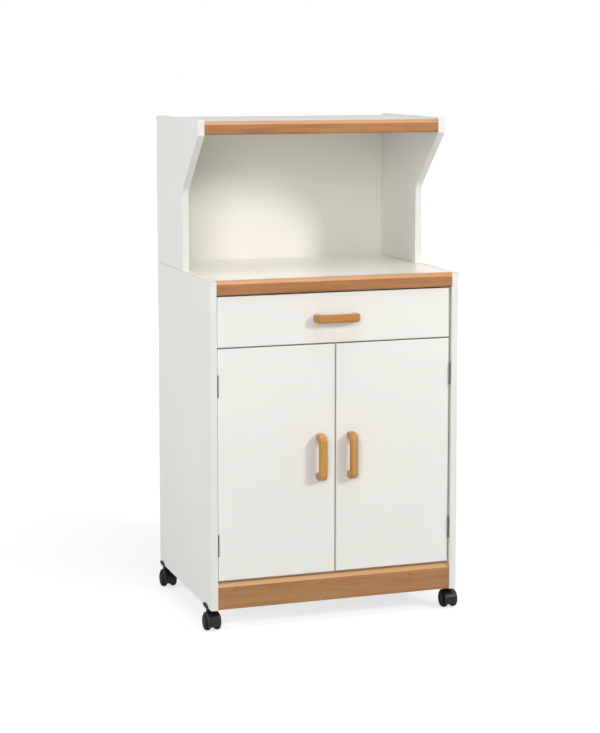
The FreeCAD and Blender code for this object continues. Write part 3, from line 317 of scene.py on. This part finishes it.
def hardboard(name, axis, sign, seams=()):
    """Thin hardboard: painted white, and brown with a pressed mesh where it faces the given way."""
    surface = Surface(name)
    mask = surface.facing(axis, sign)
    # The white paint gets a painted shadow line along its seams
    paint = surface.with_seam_shadow(surface.clouded(BACK_PAINT, **PAINT_CLOUDS), BACK_PAINT, seams)
    browns = [linear(HARDBOARD_DARK), linear(HARDBOARD_BROWN)]
    fibre = surface.ramp(surface.noise(**FIBRE), FIBRE_PLACES, browns)
    gloss = surface.around(surface.noise(PAINT_GLOSS_SCALE), PAINT_ROUGHNESS, PAINT_GLOSS_SWING)
    extra = surface.math("MULTIPLY", mask, FIBRE_EXTRA_ROUGHNESS)
    surface.set(Base_Color=surface.mix(mask, paint, fibre), Roughness=surface.math("ADD", gloss, extra),
                IOR=PAINT_IOR)
    waves = [surface.bands(direction, EVEN, MESH_WAVES) for direction in AXES if direction != axis]
    mesh = surface.math("MULTIPLY", surface.math("MULTIPLY", *waves), mask)
    stipple = surface.math("MULTIPLY", surface.noise(**PAINT_STIPPLE), PAINT_STIPPLE_SHARE)
    surface.bump(surface.math("ADD", mesh, stipple), **HARDBOARD_BUMP)
    return surface.material


# Wood

LACQUER_IOR = 1.5
COAT_ROUGHNESS = 0.16
WOOD_GLOSS_SWING = 0.05
STREAKS = {"scale": 5.0, "detail": 6.0, "roughness": 0.62, "distortion": 0.7}
STREAK_STRETCH = 13.0
STREAK_PLACES = (0.26, 0.46, 0.72)
RINGS = {"Scale": 5.5, "Distortion": 5.0, "Detail": 3.0, "Detail Scale": 1.2}
RING_SIZE = 0.5
RING_RANGE = (0.62, 1.0)
RING_DEPTH = 0.20
DRIFT = {"scale": 9.0, "detail": 3.0}
DRIFT_STRETCH = 2.6
DRIFT_RANGE = (0.40, 0.66)
DRIFT_DEPTH = 0.75
PORES = {"scale": 52.0, "detail": 3.0, "roughness": 0.7}
PORE_STRETCH = 36.0
PORE_RANGE = (0.60, 0.74)
PORE_DEPTH = 0.34
PORE_TINT = 0.62
PORE_BUMP = {"distance": 0.00006, "strength": 0.5}
KNOTS = {"scale": 21.0, "stretch": (0.8, 1.0, 1.9), "detail": 3.0, "distortion": 1.6}
KNOT_RANGE = (0.64, 0.74)
KNOT_TINT = 0.62
# Painted highlight on faces that look up: the range of the normal's upward part over which it rises, and how
# much lighter it is than the light streaks
TOP_HIGHLIGHT_RANGE = (0.20, 0.65)
TOP_HIGHLIGHT_TINT = 1.45


def across_grain(along, stretch, size=1.0):
    """Scale of each axis for a figure that is long along the grain."""
    return tuple(size if axis == along else size * stretch for axis in AXES)


def wood(name, colours, along, roughness, coat, shine=PLAIN_SHINE, edge=0.0, knots=0.0):
    """Lacquered wood with long streaks, a drift to red and open pores.

    Where asked, its upward-facing faces get a painted highlight, and it has knots.
    """
    surface = Surface(name)
    light, middle, dark = colours
    streaks = surface.noise(stretch=across_grain(along, STREAK_STRETCH), **STREAKS)
    figure = surface.ramp(streaks, STREAK_PLACES, [linear(dark), linear(middle), linear(light)])
    ring_direction = "Z" if along == "X" else "X"
    rings = surface.bands(ring_direction, across_grain(along, STREAK_STRETCH, RING_SIZE), RINGS)
    figure = surface.mix(surface.spread(rings, 0, RING_DEPTH, RING_RANGE), figure, linear(dark))
    drift = surface.noise(stretch=across_grain(along, DRIFT_STRETCH), **DRIFT)
    figure = surface.mix(surface.spread(drift, 0, DRIFT_DEPTH, DRIFT_RANGE), figure, RED_CAST, "MULTIPLY")
    specks = surface.noise(stretch=across_grain(along, PORE_STRETCH), **PORES)
    pores = surface.spread(specks, 0, 1, PORE_RANGE)
    figure = surface.mix(surface.math("MULTIPLY", pores, PORE_DEPTH), figure, tinted(dark, PORE_TINT))
    if knots:
        blots = surface.spread(surface.noise(**KNOTS), 0, knots, KNOT_RANGE)
        figure = surface.mix(blots, figure, tinted(dark, KNOT_TINT))
    # Painted highlight that lightens faces the more they look up
    if edge:
        top_highlight = surface.spread(surface.parts("Normal")["Z"], 0, edge, TOP_HIGHLIGHT_RANGE)
        figure = surface.mix(top_highlight, figure, tinted(light, TOP_HIGHLIGHT_TINT))
    surface.set(Base_Color=figure, Roughness=surface.around(streaks, roughness, -WOOD_GLOSS_SWING),
                IOR=LACQUER_IOR, Specular_IOR_Level=shine, Coat_Weight=coat, Coat_Roughness=COAT_ROUGHNESS)
    surface.bump(surface.math("SUBTRACT", 1, pores), **PORE_BUMP)
    return surface.material


# Metals and plastics

METAL_CLOUDS = {"scale": 90.0, "tints": (0.82, 1.1), "detail": 5.0}
METAL_STREAKS = {"scale": 160.0, "detail": 3.0}
METAL_GLOSS_SWING = 0.08
METAL_BUMP = {"distance": 0.00003, "strength": 0.4}

ENAMEL_IOR = 1.5
ENAMEL_CLOUDS = {"scale": 30.0, "tints": (0.95, 1.02)}
ENAMEL_ROUGHNESS = 0.39
ENAMEL_GLOSS_SCALE = 120.0
ENAMEL_GLOSS_SWING = 0.06
ENAMEL_PEEL = {"scale": 480.0, "detail": 2.0}
ENAMEL_BUMP = {"distance": 0.00006, "strength": 0.5}

PLASTIC_IOR = 1.5
PLASTIC_CLOUDS = {"scale": 70.0, "tints": (0.84, 1.14), "detail": 5.0}
PLASTIC_GLOSS_SCALE = 210.0
PLASTIC_GLOSS_SWING = 0.05
PLASTIC_STIPPLE_DETAIL = 2.0
PLASTIC_BUMP = {"distance": 0.00005, "strength": 0.5}

# Half of each magnet's face, in metres
MAGNET_HALF_WIDTH = 0.0070
MAGNET_HALF_HEIGHT = 0.0030


def metal(name, colour, roughness, brushed):
    """Plated steel with rolled streaks and a little unevenness."""
    surface = Surface(name)
    streaks = surface.noise(stretch=brushed, **METAL_STREAKS)
    surface.set(Base_Color=surface.clouded(colour, **METAL_CLOUDS), Metallic=1,
                Roughness=surface.around(streaks, roughness, METAL_GLOSS_SWING))
    surface.bump(streaks, **METAL_BUMP)
    return surface.material


def enamel(name, colour):
    """Powder coat with a slight orange peel."""
    surface = Surface(name)
    gloss = surface.around(surface.noise(ENAMEL_GLOSS_SCALE), ENAMEL_ROUGHNESS, ENAMEL_GLOSS_SWING)
    surface.set(Base_Color=surface.clouded(colour, **ENAMEL_CLOUDS), Roughness=gloss, IOR=ENAMEL_IOR)
    surface.bump(surface.noise(**ENAMEL_PEEL), **ENAMEL_BUMP)
    return surface.material


def plastic(name, colour, roughness, stipple, shine=PLAIN_SHINE, marks=None):
    """Moulded plastic with a fine stipple and uneven sheen; marks, if given, paints over its colour."""
    surface = Surface(name)
    paint = surface.clouded(colour, **PLASTIC_CLOUDS)
    gloss = surface.around(surface.noise(PLASTIC_GLOSS_SCALE), roughness, PLASTIC_GLOSS_SWING)
    surface.set(Base_Color=marks(surface, paint) if marks else paint, Roughness=gloss, IOR=PLASTIC_IOR,
                Specular_IOR_Level=shine)
    surface.bump(surface.noise(stipple, detail=PLASTIC_STIPPLE_DETAIL), **PLASTIC_BUMP)
    return surface.material


def magnets(surface, paint):
    """The catch's two dark magnets, each behind the middle of its door's strike."""
    strike_low, strike_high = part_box("left_door_strike")
    catch_low, catch_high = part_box("magnetic_catch")
    strike_middle = abs(strike_low.x + strike_high.x) / 2
    catch_middle = (catch_low + catch_high) / 2
    place = surface.parts("Object")
    in_width = surface.within(surface.math("ABSOLUTE", place["X"]), strike_middle, MAGNET_HALF_WIDTH)
    in_height = surface.within(place["Z"], catch_middle.z, MAGNET_HALF_HEIGHT)
    in_front = surface.math("LESS_THAN", place["Y"], catch_middle.y)
    mask = surface.math("MULTIPLY", surface.math("MULTIPLY", in_width, in_height), in_front)
    return surface.mix(mask, paint, linear(MAGNET))


# Materials by slot, and by node where a slot needs more than one

RAW_END_FACES = (("Y", 1), ("Z", -1))
BAND_END_FACES = (("Z", 1),)
UPRIGHT_BRUSHED = (1.0, 1.0, 0.06)
LONG_BRUSHED = (1.0, 0.3, 1.0)

inner_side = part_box("countertop")[1].x
upper_end_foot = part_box("left_upper_end")[0].z
# Places of the painted shadow lines: beside the ends' inner faces on the back and the countertop, and at the
# foot of the upper ends
side_seams = (("X", inner_side),)
end_seams = (("Z", upper_end_foot),)

SLOT_MATERIALS = {
    "white_laminate": laminate("satin white laminate", LAMINATE, roughness=0.40),
    "white_hardboard": hardboard("white hardboard", "Y", 1, side_seams),
    "drawer_board": laminate("drawer foil", DRAWER_WHITE, roughness=0.48),
    # edge: strength of the trim's painted highlight on faces that look up
    "oak_trim": wood("oak trim", TRIM_OAK, "X", roughness=0.36, coat=0.3, edge=0.55),
    "oak_pull": wood("oak pull upright", PULL_OAK, "Z", roughness=0.30, coat=0.35, shine=0.2),
    "beech_dowel": wood("beech dowel", BEECH, "X", roughness=0.6, coat=0.0),
    "hinge_metal": metal("dull nickel", HINGE_METAL, roughness=0.42, brushed=UPRIGHT_BRUSHED),
    "zinc_steel": metal("zinc plate", ZINC, roughness=0.36, brushed=LONG_BRUSHED),
    "runner_enamel": enamel("cream enamel", ENAMEL),
    "roller_nylon": plastic("white nylon", NYLON, roughness=0.48, stipple=900.0),
    "catch_plastic": plastic("catch moulding", CATCH, roughness=0.45, stipple=1300.0, marks=magnets),
    "black_plastic": plastic("satin black nylon", BLACK, roughness=0.31, stipple=1500.0, shine=0.30),
    "wheel_plastic": plastic("wheel nylon", WHEEL_BLACK, roughness=0.50, stipple=1100.0, shine=0.05),
}
end_laminate = laminate("laminated end", END_LAMINATE, roughness=0.42, raw_faces=RAW_END_FACES,
                        band_faces=BAND_END_FACES, seams=end_seams)
NODE_MATERIALS = {
    "left_lower_end": end_laminate,
    "right_lower_end": end_laminate,
    "left_upper_end": end_laminate,
    "right_upper_end": end_laminate,
    "countertop": laminate("countertop laminate", COUNTER_LAMINATE, roughness=0.18, shine=0.4,
                           seams=side_seams),
    "hutch_top": laminate("hutch top laminate", TOP_LAMINATE, roughness=0.62, shine=0.25),
    "caster_sockets": plastic("dull black nylon", BLACK, roughness=0.55, stipple=1300.0, shine=0.12),
    "drawer_bottom": hardboard("drawer hardboard", "Z", -1),
    # edge: strength of the kickboard's painted highlight on faces that look up
    "kickboard": wood("oak kickboard", KICK_OAK, "X", roughness=0.38, coat=0.2, edge=0.6, knots=0.6),
    "drawer_pull": wood("oak pull lying", PULL_OAK, "X", roughness=0.30, coat=0.35, shine=0.2),
}


def dress(node, slot):
    """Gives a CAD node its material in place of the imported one."""
    material = NODE_MATERIALS.get(node, SLOT_MATERIALS[slot])
    piece = frame["nodes"][node]
    if not piece.material_slots:
        piece.data.materials.append(material)
    for place in piece.material_slots:
        place.material = material


for subpart in frame["record"]["subparts"]:
    dress(subpart["node"], subpart["material_slot"])


# Floor, background, lamps and camera

def placed(name, data):
    """New object in the scene."""
    made = bpy.data.objects.new(name, data)
    bpy.context.scene.collection.objects.link(made)
    return made


def emptied(owner):
    """Node tree of a material or a world, with nothing in it yet."""
    owner.use_nodes = True
    owner.node_tree.nodes.clear()
    return Nodes(owner.node_tree)


def floor_material():
    """Pale floor that looks white where it is lit and keeps the cart's shadow."""
    material = bpy.data.materials.new("floor")
    nodes = emptied(material)
    matt = nodes.node("ShaderNodeBsdfDiffuse", {"Color": FLOOR_COLOUR})
    place = nodes.node("ShaderNodeTexCoord").outputs["Object"]
    away = nodes.node("ShaderNodeVectorMath", {0: place}, operation="LENGTH").outputs["Value"]
    level = nodes.spread(away, FLOOR_GLOW_NEAR, FLOOR_GLOW_FAR, (FLOOR_NEAR, FLOOR_FAR))
    strength = nodes.math("MULTIPLY", nodes.seen_directly(), level)
    glow = nodes.node("ShaderNodeEmission", {"Strength": strength})
    total = nodes.node("ShaderNodeAddShader", {0: matt.outputs["BSDF"], 1: glow.outputs["Emission"]})
    nodes.node("ShaderNodeOutputMaterial", {"Surface": total.outputs["Shader"]})
    return material


def make_floor():
    mesh = bpy.data.meshes.new("floor")
    corners = [(-FLOOR_HALF, -FLOOR_HALF), (FLOOR_HALF, -FLOOR_HALF), (FLOOR_HALF, FLOOR_HALF),
               (-FLOOR_HALF, FLOOR_HALF)]
    mesh.from_pydata([(x, y, -FLOOR_DROP) for x, y in corners], [], [range(len(corners))])
    mesh.materials.append(floor_material())
    floor = placed("floor", mesh)


def make_world():
    """Even light, with a white background where it is seen directly."""
    world = bpy.data.worlds.new("studio")
    bpy.context.scene.world = world
    nodes = emptied(world)
    level = nodes.spread(nodes.seen_directly(), WORLD_LEVEL, BACKGROUND_LEVEL, (0, 1))
    background = nodes.node("ShaderNodeBackground", {"Color": WHITE, "Strength": level})
    nodes.node("ShaderNodeOutputWorld", {"Surface": background.outputs["Background"]})


def make_lamp(name, place, target, width, height, power):
    """Rectangular lamp that looks at its target."""
    lamp = bpy.data.lights.new(name, "AREA")
    lamp.shape = "RECTANGLE"
    lamp.size = width
    lamp.size_y = height
    lamp.energy = power
    made = placed(name, lamp)
    made.location = place
    made.rotation_euler = (Vector(target) - Vector(place)).to_track_quat("-Z", "Y").to_euler()


def make_sky_lamp(elevation, azimuth, spread, strength):
    lamp = bpy.data.lights.new("sky", "SUN")
    lamp.angle = math.radians(spread)
    lamp.energy = strength
    made = placed("sky", lamp)
    tilt = math.radians(RIGHT_ANGLE - elevation)
    made.rotation_euler = Euler((tilt, 0, math.radians(azimuth)), "XYZ")


def make_camera():
    """The photograph's camera, turned right and tilted down, with the little shift that its frame needs."""
    lens = bpy.data.cameras.new("camera")
    long_side = max(IMAGE_WIDTH, IMAGE_HEIGHT)
    lens.sensor_fit = "AUTO"
    lens.sensor_width = SENSOR
    lens.lens = FOCAL_PIXELS * SENSOR / long_side
    lens.shift_y = (CENTRE_ROW - IMAGE_HEIGHT / 2) / long_side
    camera = placed("camera", lens)
    camera.location = CAMERA_PLACE
    tilt = math.radians(RIGHT_ANGLE - CAMERA_PITCH)
    camera.rotation_euler = Euler((tilt, 0, -math.radians(CAMERA_YAW)), "XYZ")
    bpy.context.scene.camera = camera


make_camera()
make_floor()
make_world()
for lamp_name, lamp_values in LAMPS.items():
    make_lamp(lamp_name, *lamp_values)
make_sky_lamp(*SKY_LAMP)
bpy.context.scene.view_settings.view_transform = "Standard"
